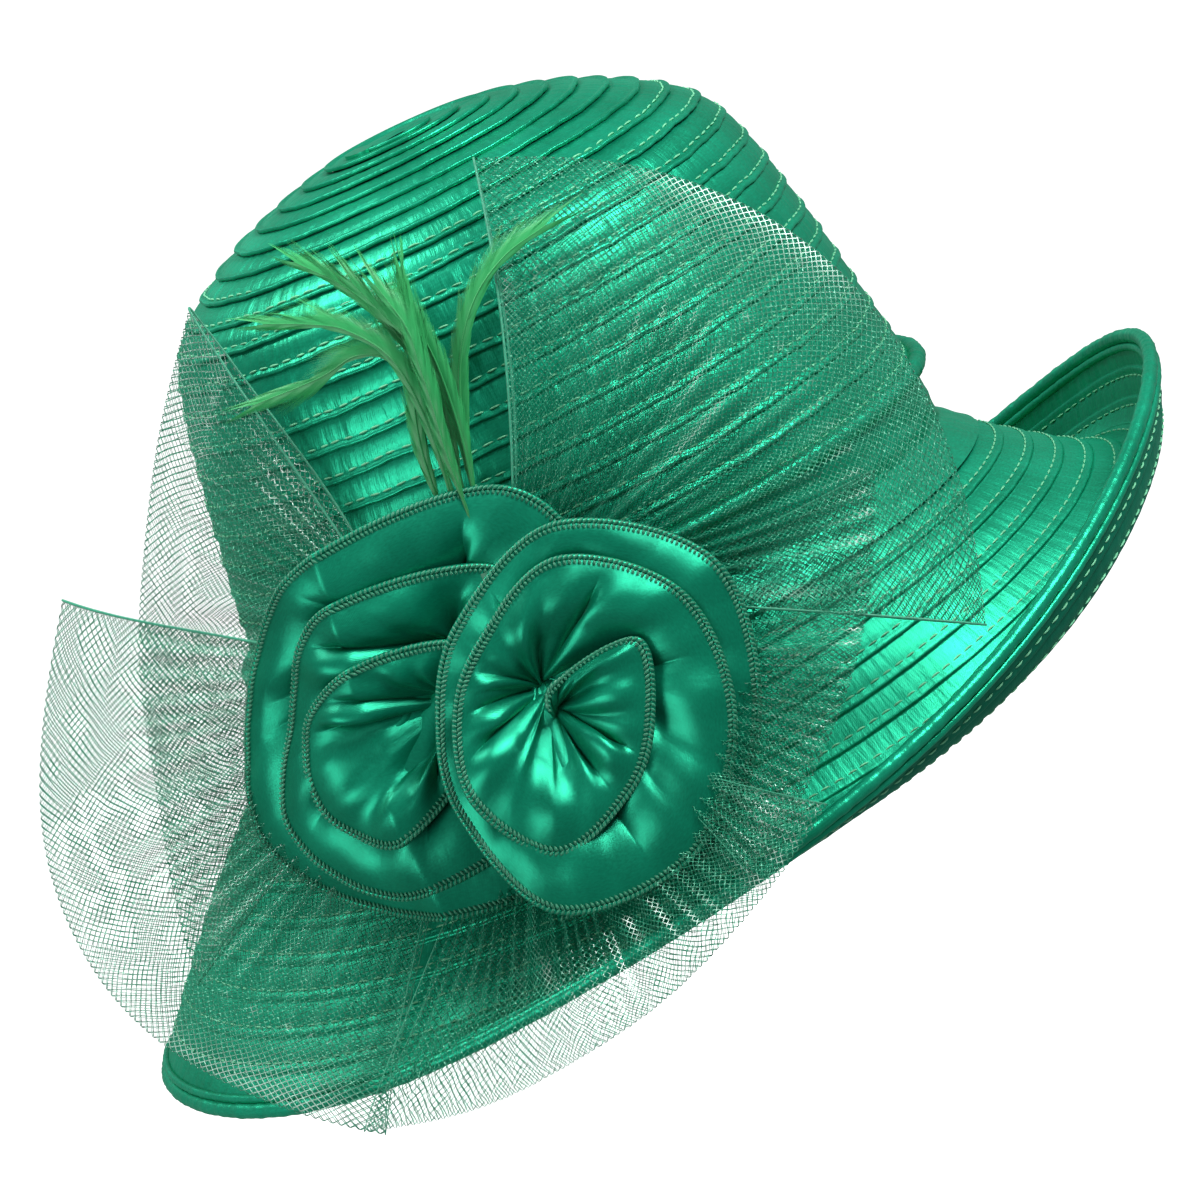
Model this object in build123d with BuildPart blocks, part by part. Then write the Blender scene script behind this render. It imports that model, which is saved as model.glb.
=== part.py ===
from build123d import *
from math import cos, sin, pi, radians
import os

# Lady's dress hat of spiral-sewn satin ribbon, trimmed with roses, feathers and crinoline loops.
# Frame: +Z up, front of the hat towards -Y, wearer's left towards +X.
# Origin: centre of the head opening, level with the foot of the crown. Millimetres.

os.makedirs("parts", exist_ok=True)

# ---------------------------------------------------------------- driving dimensions
HEAD_RADIUS = 90.4        # inside of the sweatband: a 56.8 cm head
SWEAT_THICK = 0.6
SWEAT_ABOVE = 22.0        # sweatband above the foot of the crown
SWEAT_BELOW = 3.0
SEWN_GAP = 0.1            # between layers that are sewn together
BRAID_THICK = 1.4         # one ribbon row on its neighbour

CROWN_HEIGHT = 127.0
CROWN_CLEAR = 0.4         # from the rouleau up to the first lapped row
SHOULDER_RISE = 100.0
SHOULDER_INSET = 16.5     # shoulder inside the foot radius
SIDE_INSET = 5.2          # half-way up the side
ROW_PITCH = 7.8
ROW_LAP = 0.9             # how far a row's edge stands over the next row

BAND_THICK = 0.9
BAND_HEIGHT = 15.5
BAND_BEND = 1.6           # height at which the band's foot starts to turn out
BAND_FLARE = 0.07         # share of the brim's section that the band's foot covers
ROULEAU_RADIUS = 2.4
ROULEAU_CORD_RADIUS = 1.5
SMALL_GAP = 0.3           # between pieces that only lie against each other

BRIM_THICK = 1.6
BINDING_FROM = 0.95       # share of the brim's section where the binding starts
BINDING_WALL = 0.7
WIRE_RADIUS = 0.9

PAD_RADIUS = 26.0
PAD_THICK = 2.0
PAD_OFF = 2.7             # pad's back outside the rouleau, at the pad's middle
PAD_RISE = 8.0
PAD_TURN = -20.6          # degrees from +X towards the front
PAD_TILT = 12.0           # degrees upwards

ROSE_RADIUS = 45.0
ROSE_DEPTH = 21.0
ROSE_WALL = 1.5
ROSE_BACK_RADIUS = 11.0
ROSE_BACK_THICK = 1.2

NET_THICK = 1.2
NET_ROOT_WIDTH = 15.0
NET_INSET = 1.0           # a loop's root inside the pad's edge

QUILL_WIDTH = 1.3
FEATHER_THICK = 0.5
WRAP_RADIUS = 3.6
WRAP_LENGTH = 9.0
WRAP_WALL = 0.5

# Brim, at every 30 degrees from the back (0) round to the front (180). Both sides are alike.
RIM_WIDTH = [56.4, 52.4, 46.4, 44.4, 52.4, 64.4, 68.4]
RIM_RISE = [-6, -19, -41, -56, -66, -69, -66]
ROOT_SLOPE = [-38, -43, -54, -62, -55, -42, -34]
RIM_SLOPE = [80, 78, 62, 28, -5, -40, -52]
ROOT_PULL = [46, 46, 42, 34, 28, 26, 28]
RIM_PULL = [36, 36, 34, 32, 26, 26, 28]
BRIM_STATIONS = 13

# Where the roses sit on the pad (along it, up it, off it) and which way they face.
ROSE_REAR_SEAT = (20.2, -7.3, 9.0)
ROSE_REAR_TURN = 2.0
ROSE_FRONT_SEAT = (-17.1, 0.0, 9.0)
ROSE_FRONT_TURN = -38.0
ROSE_TILT = 9.5

# Net loops: the spoke's angle on the pad, the level it is sewn down at, the two ends of the far fold
# from the pad's middle, how far the tape stands out from the line between (near the pad, and near the
# fold), and how far the fold bows past its chord.
NET_LOOPS = {
    "net_upper_rear": (40, 1.6, (-20.8, 52.0, 114.0), (-11.8, 124.0, 6.0), 14, 16, 18),
    "net_lower_rear": (-16, 3.6, (8.2, 121.0, 1.0), (50.2, 44.0, -58.0), -18, -7, 24),
    "net_lower": (-83, 1.6, (54.2, 44.0, -61.0), (32.2, -67.0, -78.0), -4, 3, 12),
    "net_lower_front": (-168, 3.8, (15.2, -79.0, -85.0), (-33.8, -90.0, 58.0), -18, 3, 36),
    "net_upper_front": (152.5, 1.6, (-55.8, -107.0, -45.0), (-39.8, -30.0, 109.0), -6, 0, 15),
}

# Feathers: points on the pad's plane (along, up, off) from the wrap to the tip.
WRAP_SEAT = (11.0, 14.0, 8.4)
FEATHER_WIDTHS = [3.0, 4.5, 6.5, 7.0, 5.5, 0.8]
FEATHER_PATHS = [
    [(13.3, 37.7, 6.0), (17.1, 56.3, 5.4), (22.7, 72.6, 4.6), (31.8, 85.3, 4), (43.0, 92.5, 3), (55.6, 95.6, 2)],
    [(9.0, 37.4, 7.0), (10.5, 60.6, 7.2), (8.3, 78.0, 7.8), (0.1, 83.9, 8), (-11.6, 82.6, 8), (-31.0, 82.9, 7)],
    [(11.6, 37.6, 8.1), (14.9, 58.4, 8.6), (14.8, 75.4, 9.4), (10.4, 89.8, 9.8), (3.2, 101.7, 9.8), (-6.2, 111.1, 8.5)],
    [(14.6, 37.7, 9.3), (18.2, 56.1, 10.3), (19.5, 73.1, 11), (18.8, 85.2, 11.4), (18.9, 92.6, 11.4), (19.9, 99.6, 10.8)],
    [(6.2, 37.9, 9.4), (7.2, 53.0, 11.3), (9.9, 65.2, 12.2), (15.6, 80.1, 12.6), (12.2, 89.7, 12.8), (7.1, 100.6, 12)],
    [(9.6, 37.5, 10.6), (12.1, 60.7, 12.6), (10.4, 78.8, 13.9), (2.3, 90.1, 14.2), (-6.8, 95.4, 14.2), (-18.2, 99.9, 13)],
    [(13.0, 37.3, 12.0), (14.6, 53.2, 14.5), (16.4, 65.5, 15.7), (17.3, 75.3, 16.3), (17.8, 85.0, 16.3), (14.0, 97.4, 15.3)],
]
# Places of the quills in the wrap: one in the middle (None), the others by angle round it.
QUILL_ANGLES = [300, 240, None, 0, 180, 120, 60]

# ---------------------------------------------------------------- derived sizes
crown_inner = HEAD_RADIUS + SWEAT_THICK + SEWN_GAP
crown_foot = crown_inner + BRAID_THICK
brim_root = crown_foot + SEWN_GAP
band_inner = crown_foot + SMALL_GAP
rouleau_middle = (band_inner + ROULEAU_RADIUS, BAND_HEIGHT + SMALL_GAP + ROULEAU_RADIUS)
crown_straight = rouleau_middle[1] + ROULEAU_RADIUS + CROWN_CLEAR  # upright, under the band
pad_stand = band_inner + 2 * ROULEAU_RADIUS + PAD_OFF + PAD_THICK
net_root_radius = PAD_RADIUS - NET_INSET


def save(name, part):
    """Labels a finished piece and writes it under its own name."""
    part.label = name
    export_step(part, f"parts/{name}.step")


def around(values, phi):
    """Smooth value at angle phi (radians from the back) through values at equal steps to the front."""
    n = len(values) - 1
    total = 0
    for k in range(n + 1):
        wave = sum(v * cos(pi * j * k / n) * (0.5 if j in (0, n) else 1) for j, v in enumerate(values))
        total += wave * cos(k * phi) * (0.5 if k in (0, n) else 1)
    return total * 2 / n


def direction(degrees):
    return Vector(cos(radians(degrees)), sin(radians(degrees)))


def left_of(vector):
    return Vector(-vector.Y, vector.X)


def brim_poles(phi, lift):
    """Bezier poles (radius, height) of the brim's section at phi, lifted off its lower surface."""
    start = direction(around(ROOT_SLOPE, phi))
    end = direction(around(RIM_SLOPE, phi))
    root = Vector(brim_root, -1.2) + left_of(start) * lift
    rim = Vector(brim_root + around(RIM_WIDTH, phi), around(RIM_RISE, phi)) + left_of(end) * (lift - BRIM_THICK)
    near_root = root + start * around(ROOT_PULL, phi)
    near_rim = rim - end * around(RIM_PULL, phi)
    return [root, near_root, near_rim, rim]


def rim_point(phi, reach):
    """Point (radius, height) beyond the middle of the brim's edge, straight on from it."""
    poles = brim_poles(phi, BRIM_THICK / 2)
    point = poles[3] + (poles[3] - poles[2]).normalized() * reach
    return (point.X, point.Y)


def on_bezier(poles, share):
    """Point of a Bezier curve at the given share of its parameter."""
    while len(poles) > 1:
        poles = [a + (b - a) * share for a, b in zip(poles, poles[1:])]
    return poles[0]


def tail(poles, share):
    """Poles of the last part of a Bezier curve, from the given share on."""
    kept = []
    while poles:
        kept.append(poles[-1])
        poles = [a + (b - a) * share for a, b in zip(poles, poles[1:])]
    return kept[::-1]


def station_plane(phi):
    """Upright half-plane through the hat's axis: x is the radius, y is the height."""
    outward = Vector(sin(phi), cos(phi), 0)
    return Plane(origin=(0, 0, 0), x_dir=outward, z_dir=outward.cross(Vector(0, 0, 1)))


stations = [pi * i / (BRIM_STATIONS - 1) for i in range(BRIM_STATIONS)]

# ---------------------------------------------------------------- crown
with BuildLine() as crown_curve:
    Spline(
        (crown_foot, crown_straight),
        (crown_foot - SIDE_INSET, (crown_straight + SHOULDER_RISE) / 2 - 6),
        (crown_foot - SHOULDER_INSET, SHOULDER_RISE),
        (crown_foot * 0.48, CROWN_HEIGHT - 8.5),
        (0, CROWN_HEIGHT),
        tangents=[(0, 1), (-1, 0)],
    )
dome = crown_curve.edges()[0]
row_count = round(dome.length / ROW_PITCH)
outer_points = [(crown_foot, -1.5), (crown_foot, crown_straight)]
inner_points = [(crown_inner, -1.5), (crown_inner, crown_straight)]
for row in range(row_count):
    foot = dome.position_at(dome.length * row / row_count, position_mode=PositionMode.LENGTH)
    head = dome.position_at(dome.length * (row + 1) / row_count, position_mode=PositionMode.LENGTH)
    across = left_of((head - foot).normalized()) * -1
    lapped = foot + across * ROW_LAP
    outer_points += [(lapped.X, lapped.Y), (head.X, head.Y)]
    inner = head - across * BRAID_THICK
    inner_points.append((max(inner.X, 0), inner.Y))
outer_points[-1] = (0, CROWN_HEIGHT)
inner_points[-1] = (0, CROWN_HEIGHT - BRAID_THICK)

with BuildPart() as crown:
    with BuildSketch(Plane.XZ):
        with BuildLine():
            Polyline(*outer_points, *reversed(inner_points), close=True)
        make_face()
    revolve(axis=Axis.Z)
save("crown_braid", crown.part)

# The ribbon's start: a short end turned up out of the tip.
with BuildPart() as tip:
    with BuildSketch(Plane.XY.offset(CROWN_HEIGHT + SEWN_GAP)):
        with Locations((3, -11)):
            Ellipse(6, 3.5, rotation=20)
    extrude(amount=1.0)
save("tip_tuck", tip.part)

# ---------------------------------------------------------------- sweatband
with BuildPart() as sweatband:
    with BuildSketch(Plane.XY.offset(-SWEAT_BELOW)):
        Circle(HEAD_RADIUS + SWEAT_THICK)
        Circle(HEAD_RADIUS, mode=Mode.SUBTRACT)
    extrude(amount=SWEAT_BELOW + SWEAT_ABOVE)
save("sweatband", sweatband.part)

# ---------------------------------------------------------------- brim
with BuildPart() as brim:
    for phi in stations:
        with BuildSketch(station_plane(phi)):
            with BuildLine():
                upper = Bezier(*brim_poles(phi, BRIM_THICK))
                lower = Bezier(*brim_poles(phi, 0))
                Line(upper @ 0, lower @ 0)
                Line(upper @ 1, lower @ 1)
            make_face()
    loft()
    mirror(about=Plane.YZ)
save("brim_braid", brim.part)

# The rim: a wire laid against the brim's edge, and satin folded over both.
slot = max(BRIM_THICK / 2, WIRE_RADIUS) + SEWN_GAP
wire_reach = SEWN_GAP + WIRE_RADIUS

with BuildPart() as wire:
    for phi in stations:
        with BuildSketch(station_plane(phi)):
            with Locations(rim_point(phi, wire_reach)):
                RegularPolygon(WIRE_RADIUS, 8)
    loft()
    mirror(about=Plane.YZ)
save("brim_wire", wire.part)

with BuildPart() as binding:
    for phi in stations:
        with BuildSketch(station_plane(phi)):
            with BuildLine():
                ends = []
                for lift in (slot, slot + BINDING_WALL):
                    above = Bezier(*tail(brim_poles(phi, BRIM_THICK / 2 + lift), BINDING_FROM))
                    below = Bezier(*tail(brim_poles(phi, BRIM_THICK / 2 - lift), BINDING_FROM))
                    turn = rim_point(phi, wire_reach + WIRE_RADIUS + SEWN_GAP + lift - slot)
                    ThreePointArc(above @ 1, turn, below @ 1)
                    ends += [above @ 0, below @ 0]
                Line(ends[0], ends[2])
                Line(ends[1], ends[3])
            make_face()
    loft()
    mirror(about=Plane.YZ)
save("rim_binding", binding.part)

# ---------------------------------------------------------------- hat band and rouleau
with BuildPart() as band:
    for phi in stations:
        with BuildSketch(station_plane(phi)):
            with BuildLine():
                ends = []
                for layer in (0, BAND_THICK):
                    poles = brim_poles(phi, BRIM_THICK + SMALL_GAP + layer)
                    top = (band_inner + layer, BAND_HEIGHT)
                    bend = (band_inner + layer, BAND_BEND + layer)
                    foot = on_bezier(poles, BAND_FLARE)
                    Line(top, bend)
                    Bezier(bend, poles[0], foot)
                    ends += [top, foot]
                Line(ends[0], ends[2])
                Line(ends[1], ends[3])
            make_face()
    loft()
    mirror(about=Plane.YZ)
save("hat_band", band.part)

with BuildPart() as rouleau:
    with BuildSketch(Plane.XZ):
        with Locations(rouleau_middle):
            Circle(ROULEAU_RADIUS)
            Circle(ROULEAU_CORD_RADIUS + SEWN_GAP, mode=Mode.SUBTRACT)
    revolve(axis=Axis.Z)
save("band_rouleau", rouleau.part)

with BuildPart() as cord:
    with BuildSketch(Plane.XZ):
        with Locations(rouleau_middle):
            Circle(ROULEAU_CORD_RADIUS)
    revolve(axis=Axis.Z)
save("rouleau_cord", cord.part)

# ---------------------------------------------------------------- trim pad
pad_outward = Vector(
    cos(radians(PAD_TILT)) * cos(radians(PAD_TURN)),
    cos(radians(PAD_TILT)) * sin(radians(PAD_TURN)),
    sin(radians(PAD_TILT)),
)
pad_middle = Vector(pad_stand * cos(radians(PAD_TURN)), pad_stand * sin(radians(PAD_TURN)), PAD_RISE)
# On the pad's face: x runs level towards the back of the hat, y runs up it, z stands off it.
pad_plane = Plane(origin=pad_middle, x_dir=Vector(0, 0, 1).cross(pad_outward), z_dir=pad_outward)

with BuildPart() as pad:
    with BuildSketch(pad_plane):
        Circle(PAD_RADIUS)
    extrude(amount=-PAD_THICK)
save("trim_pad", pad.part)


def on_pad(x, y, z):
    return pad_plane.from_local_coords(Vector(x, y, z))


# ---------------------------------------------------------------- roses
def rose_plane(seat, turn, tilt):
    """Plane of a rose's back: z is the way the rose faces."""
    face = Vector(
        cos(radians(tilt)) * cos(radians(turn)),
        cos(radians(tilt)) * sin(radians(turn)),
        sin(radians(tilt)),
    )
    return Plane(origin=on_pad(*seat), x_dir=Vector(0, 0, 1).cross(face), z_dir=face)


def rose_backing(plane):
    """Disc that the gathered ribbon is sewn to."""
    with BuildPart() as backing:
        with BuildSketch(plane):
            Circle(ROSE_BACK_RADIUS)
        extrude(amount=ROSE_BACK_THICK)
    return backing.part


def rose_ribbon(plane, hollow=True, margin=0.0):
    """Gathered ribbon as three nested cups, one for each turn. Filled, it is the room the rose takes."""
    base = ROSE_BACK_THICK + SEWN_GAP
    edge = ROSE_RADIUS + margin
    turns = [(edge, base + 0.62 * ROSE_DEPTH), (0.84 * edge, base + 0.82 * ROSE_DEPTH), (0.58 * edge, base + ROSE_DEPTH)]
    outline = [(0, base - margin), (ROSE_BACK_RADIUS + margin, base - margin)]
    if hollow:
        for (lip, height), (next_lip, next_height) in zip(turns, turns[1:]):
            outline += [(lip, height), (lip - ROSE_WALL, height + ROSE_WALL / 2)]
            outline += [(next_lip - 7 * ROSE_WALL, next_height - 0.45 * ROSE_DEPTH)]
        lip, height = turns[-1]
        outline += [(lip, height), (lip - ROSE_WALL, height), (3 * ROSE_WALL, base + 0.3 * ROSE_DEPTH)]
        outline += [(0, base + 0.3 * ROSE_DEPTH)]
    else:
        outline += [*turns, (0, base + ROSE_DEPTH)]
    axis_plane = Plane(origin=plane.origin, x_dir=plane.x_dir, z_dir=plane.x_dir.cross(plane.z_dir))
    with BuildPart() as ribbon:
        with BuildSketch(axis_plane):
            with BuildLine():
                Polyline(*outline, close=True)
            make_face()
        revolve(axis=Axis(plane.origin, plane.z_dir))
    return ribbon.part


rear_plane = rose_plane(ROSE_REAR_SEAT, ROSE_REAR_TURN, ROSE_TILT)
front_plane = rose_plane(ROSE_FRONT_SEAT, ROSE_FRONT_TURN, ROSE_TILT)
rear_backing = rose_backing(rear_plane)
rear_ribbon = rose_ribbon(rear_plane)
rear_room = rose_ribbon(rear_plane, hollow=False, margin=1.3)
front_backing = rose_backing(front_plane)

# The front rose's petals are pressed aside by the rear one.
with BuildPart() as front_rose:
    add(rose_ribbon(front_plane))
    add(rear_room, mode=Mode.SUBTRACT)
save("rose_rear_backing", rear_backing)
save("rose_rear_ribbon", rear_ribbon)
save("rose_front_backing", front_backing)
save("rose_front_ribbon", front_rose.part)


# ---------------------------------------------------------------- crinoline loops
def net_loop(angle, seat, upper_end, lower_end, near, far, bow):
    """Wide net tape, doubled: it leaves the pad gathered and fans out to its full width at the fold."""
    spoke = direction(angle)
    across = left_of(spoke) * (NET_ROOT_WIDTH / 2)
    roots = [spoke * net_root_radius + across, spoke * net_root_radius - across]
    ends = [pad_middle + Vector(*upper_end), pad_middle + Vector(*lower_end)]
    middle = (ends[0] + ends[1]) / 2
    outward = Vector(middle.X, middle.Y, 0).normalized()
    away = (middle - pad_middle).normalized()
    rows = []
    for share, rise in [(0, 0), (1 / 3, near), (2 / 3, far), (1, 0)]:
        edge = []
        for root, end in zip(roots, ends):
            start = on_pad(root.X, root.Y, seat)
            edge.append(start + (end - start) * share + outward * rise)
        centre = (edge[0] + edge[1]) / 2
        rows.append([edge[0], centre + away * (bow * 2 * share), edge[1]])
    with BuildPart() as loop:
        thicken(Face.make_bezier_surface(rows), amount=NET_THICK / 2, both=True)
    return loop.part


for name, loop in NET_LOOPS.items():
    save(name, net_loop(*loop))


# ---------------------------------------------------------------- feathers
wrap_plane = Plane(
    origin=on_pad(*WRAP_SEAT), x_dir=pad_plane.x_dir, z_dir=pad_plane.y_dir
)
with BuildPart() as wrap:
    with BuildSketch(wrap_plane):
        Circle(WRAP_RADIUS)
        Circle(WRAP_RADIUS - WRAP_WALL, mode=Mode.SUBTRACT)
    extrude(amount=WRAP_LENGTH)
save("feather_wrap", wrap.part)


def feather(quill_angle, path):
    """Hackle: a narrow quill that widens into a blade and ends in a point."""
    offset = Vector(0, 0) if quill_angle is None else direction(quill_angle) * (1.6 * QUILL_WIDTH)
    start_x, start_y, start_z = WRAP_SEAT
    foot = (start_x + offset.X, start_y, start_z + offset.Y)
    neck = (start_x + offset.X, start_y + WRAP_LENGTH + 3, start_z + offset.Y)
    points = [on_pad(*p) for p in [foot, neck, *path]]
    widths = [QUILL_WIDTH, QUILL_WIDTH, *FEATHER_WIDTHS]
    sides = [[], []]
    for i, (point, width) in enumerate(zip(points, widths)):
        along = points[min(i + 1, len(points) - 1)] - points[max(i - 1, 0)]
        across = pad_outward.cross(along).normalized() * (width / 2)
        sides[0].append(point + across)
        sides[1].append(point - across)
    with BuildPart() as blade:
        surface = Face.make_surface_from_curves(Edge.make_spline(sides[0]), Edge.make_spline(sides[1]))
        thicken(surface, amount=FEATHER_THICK / 2, both=True)
    return blade.part


for number, (quill_angle, path) in enumerate(zip(QUILL_ANGLES, FEATHER_PATHS), start=1):
    save(f"feather_{number}", feather(quill_angle, path))
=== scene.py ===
import math
import bpy
import numpy as np
from mathutils import Matrix, Vector


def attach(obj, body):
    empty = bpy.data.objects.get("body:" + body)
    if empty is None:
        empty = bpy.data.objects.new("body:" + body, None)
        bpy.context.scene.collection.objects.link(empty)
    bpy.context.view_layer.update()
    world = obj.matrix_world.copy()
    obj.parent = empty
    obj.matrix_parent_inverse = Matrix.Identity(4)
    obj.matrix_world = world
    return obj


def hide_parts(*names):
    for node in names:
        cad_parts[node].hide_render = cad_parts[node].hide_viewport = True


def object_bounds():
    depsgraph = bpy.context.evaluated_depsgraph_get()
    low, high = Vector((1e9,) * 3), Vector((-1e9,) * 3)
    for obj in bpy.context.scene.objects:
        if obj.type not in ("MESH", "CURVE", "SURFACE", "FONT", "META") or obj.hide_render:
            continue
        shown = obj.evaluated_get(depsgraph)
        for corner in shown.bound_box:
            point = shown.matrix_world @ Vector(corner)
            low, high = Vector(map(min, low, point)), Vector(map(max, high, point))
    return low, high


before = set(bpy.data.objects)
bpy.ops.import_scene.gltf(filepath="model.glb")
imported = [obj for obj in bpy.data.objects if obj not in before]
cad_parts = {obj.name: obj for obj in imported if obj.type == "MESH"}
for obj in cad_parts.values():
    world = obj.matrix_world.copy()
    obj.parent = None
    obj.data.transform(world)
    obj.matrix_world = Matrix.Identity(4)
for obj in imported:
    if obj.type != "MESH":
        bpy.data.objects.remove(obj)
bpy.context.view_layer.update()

# Lady's satin braid hat: spiral-sewn crown and brim, band, two ribbon roses, feathers and net loops.
# Sizes are in millimetres, and meshes are turned into metres as they are made.
MM = 0.001
rng = np.random.default_rng(11)

# ------------------------------------------------------------------ sizes, in mm
BRAID = 1.4
ROW_PITCH = 7.8
CROWN_PROFILE = [
    (0, 127), (14, 126.6), (27, 124.9), (44, 120.0), (58, 113.6), (69, 106.4), (76, 98.5),
    (80.6, 86), (84.2, 70), (87.2, 54), (90.0, 37), (92.3, 21), (92.5, 10), (92.5, -1.5),
]
BRIM_ROOT = 92.6
BRIM_THICK = 1.6
BRIM_ROWS = 10
RIM_RADIUS = [149, 145, 139, 137, 145, 157, 161]
RIM_RISE = [-6, -19, -41, -56, -66, -69, -66]
ROOT_SLOPE = [-38, -43, -54, -62, -55, -42, -34]
RIM_SLOPE = [80, 78, 62, 28, -5, -40, -52]
ROOT_PULL = [46, 46, 42, 34, 28, 26, 28]
RIM_PULL = [36, 36, 34, 32, 26, 26, 28]
BAND_TOP = 15.5
BAND_RADIUS = 93.75
ROULEAU_RADIUS = 2.4
ROULEAU_AT = (95.2, 18.2)
STITCH_IN = 1.7
STITCH_LENGTH = 2.9
STITCH_PITCH = 4.0
THREAD = 0.24
NET_PITCH = 1.25
NET_STRAND = 0.08
PAD_STAND, PAD_RISE, PAD_TURN, PAD_TILT = 102.3, 8.0, -20.6, 12.0
FLOOR_DROP = 0.42  # metres from the hat's lowest point down to the floor


# ------------------------------------------------------------------ small maths
def cosd(a):
    return math.cos(math.radians(a))


def sind(a):
    return math.sin(math.radians(a))


def around(values, phi):
    """Smooth value at angle phi (from the back) through values at equal steps to the front."""
    n = len(values) - 1
    phi = np.asarray(phi, float)
    total = np.zeros_like(phi)
    for k in range(n + 1):
        ends = [0.5 if j in (0, n) else 1 for j in range(n + 1)]
        wave = sum(v * math.cos(math.pi * j * k / n) * ends[j] for j, v in enumerate(values))
        total = total + wave * np.cos(k * phi) * (0.5 if k in (0, n) else 1)
    return total * 2 / n


def unit(v):
    return v / np.maximum(np.linalg.norm(v, axis=-1, keepdims=True), 1e-9)


def smooth_path(points, count):
    """Catmull-Rom curve through the points, resampled to count points at equal steps of length."""
    p = np.asarray(points, float)
    p = np.vstack([2 * p[0] - p[1], p, 2 * p[-1] - p[-2]])
    out = []
    for i in range(1, len(p) - 2):
        t = np.linspace(0, 1, 24, endpoint=False)[:, None]
        a, b, c, d = p[i - 1], p[i], p[i + 1], p[i + 2]
        square, cube = 2 * a - 5 * b + 4 * c - d, 3 * b - a - 3 * c + d
        out.append(0.5 * (2 * b + (c - a) * t + square * t**2 + cube * t**3))
    out = np.vstack(out + [p[-2][None]])
    length = np.concatenate([[0], np.cumsum(np.linalg.norm(np.diff(out, axis=0), axis=1))])
    s = np.linspace(0, length[-1], count)
    return np.stack([np.interp(s, length, out[:, k]) for k in range(out.shape[1])], 1)


def ripple(x, waves, seed):
    """Sum of sines of the given (wavelength, size) pairs, with random phases."""
    r = np.random.default_rng(seed)
    total = 0
    for length, size in waves:
        total = total + size * np.sin(2 * math.pi * np.asarray(x) / length + r.uniform(0, 6.28))
    return total


def smoothstep(a, b, x):
    t = np.clip((x - a) / (b - a), 0, 1)
    return t * t * (3 - 2 * t)


# ------------------------------------------------------------------ mesh makers
def make_mesh(name, verts, quads, uvs=None):
    me = bpy.data.meshes.new(name)
    verts = np.asarray(verts, np.float32).reshape(-1, 3) * MM
    quads = np.asarray(quads, np.int32).reshape(-1, 4)
    me.vertices.add(len(verts))
    me.vertices.foreach_set("co", verts.ravel())
    me.loops.add(quads.size)
    me.loops.foreach_set("vertex_index", quads.ravel())
    me.polygons.add(len(quads))
    me.polygons.foreach_set("loop_start", np.arange(0, quads.size, 4, dtype=np.int32))
    me.polygons.foreach_set("loop_total", np.full(len(quads), 4, dtype=np.int32))
    if uvs is not None:
        layer = me.uv_layers.new(name="UVMap")
        layer.data.foreach_set("uv", np.asarray(uvs, np.float32).ravel())
    me.update(calc_edges=True)
    me.validate()
    me.polygons.foreach_set("use_smooth", np.full(len(me.polygons), True))
    ob = bpy.data.objects.new(name, me)
    bpy.context.collection.objects.link(ob)
    return ob


def grid(name, points, uv, wrap_i=False, wrap_j=False):
    """Mesh from an array of points; uv has one more row or column where the grid closes on itself."""
    n, m = points.shape[:2]
    ci, cj = (n if wrap_i else n - 1), (m if wrap_j else m - 1)
    i, j = np.meshgrid(np.arange(ci), np.arange(cj), indexing="ij")
    corners = [(i, j), (i + 1, j), (i + 1, j + 1), (i, j + 1)]
    quads = np.stack([(a % n) * m + (b % m) for a, b in corners], -1).reshape(-1, 4)
    uvs = np.stack([uv[a, b] for a, b in corners], -2)
    return make_mesh(name, points.reshape(-1, 3), quads, uvs)


def strand_arrays(a, b, up, radius, bow, sides=6, steps=5, first=0):
    """Many short thread pieces from a to b, each arched by bow along up."""
    a, b, up = (np.asarray(x, float) for x in (a, b, up))
    k = len(a)
    t = np.linspace(0, 1, steps)
    along = unit(b - a)
    side = unit(np.cross(along, up))
    up = np.cross(side, along)
    centre = a[:, None] + (b - a)[:, None] * t[None, :, None]
    centre = centre + up[:, None] * (bow * (1 - (2 * t - 1) ** 2))[None, :, None]
    size = radius * np.sqrt(np.clip(1 - (2 * t - 1) ** 6, 0.04, 1))
    ang = np.linspace(0, 2 * math.pi, sides, endpoint=False)[None, None, :, None]
    ring = side[:, None, None] * np.cos(ang) + up[:, None, None] * np.sin(ang)
    verts = centre[:, :, None] + ring * size[None, :, None, None]
    base = (np.arange(k) * steps * sides)[:, None, None] + first
    s = np.arange(steps - 1)[None, :, None] * sides
    c = np.arange(sides)[None, None, :]
    d = (c + 1) % sides
    quads = np.stack([base + s + c, base + s + d, base + s + sides + d, base + s + sides + c], -1)
    return verts.reshape(-1, 3), quads.reshape(-1, 4)


def strands(name, a, b, up, radius, bow):
    verts, quads = strand_arrays(a, b, up, radius, bow)
    return make_mesh(name, verts, quads)


def tube_points(path, radius, sides=10, closed=False, up=(0, 0, 1)):
    """Rings of points round a path; radius is one number or one for each point."""
    path = np.asarray(path, float)
    if closed:
        tangent = unit(np.roll(path, -1, 0) - np.roll(path, 1, 0))
    else:
        tangent = unit(np.gradient(path, axis=0))
    side = unit(np.cross(tangent, np.asarray(up, float)))
    top = np.cross(side, tangent)
    ang = np.linspace(0, 2 * math.pi, sides, endpoint=False)[None, :, None]
    r = np.broadcast_to(np.asarray(radius, float), (len(path),))[:, None, None]
    return path[:, None] + (side[:, None] * np.cos(ang) + top[:, None] * np.sin(ang)) * r


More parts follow.
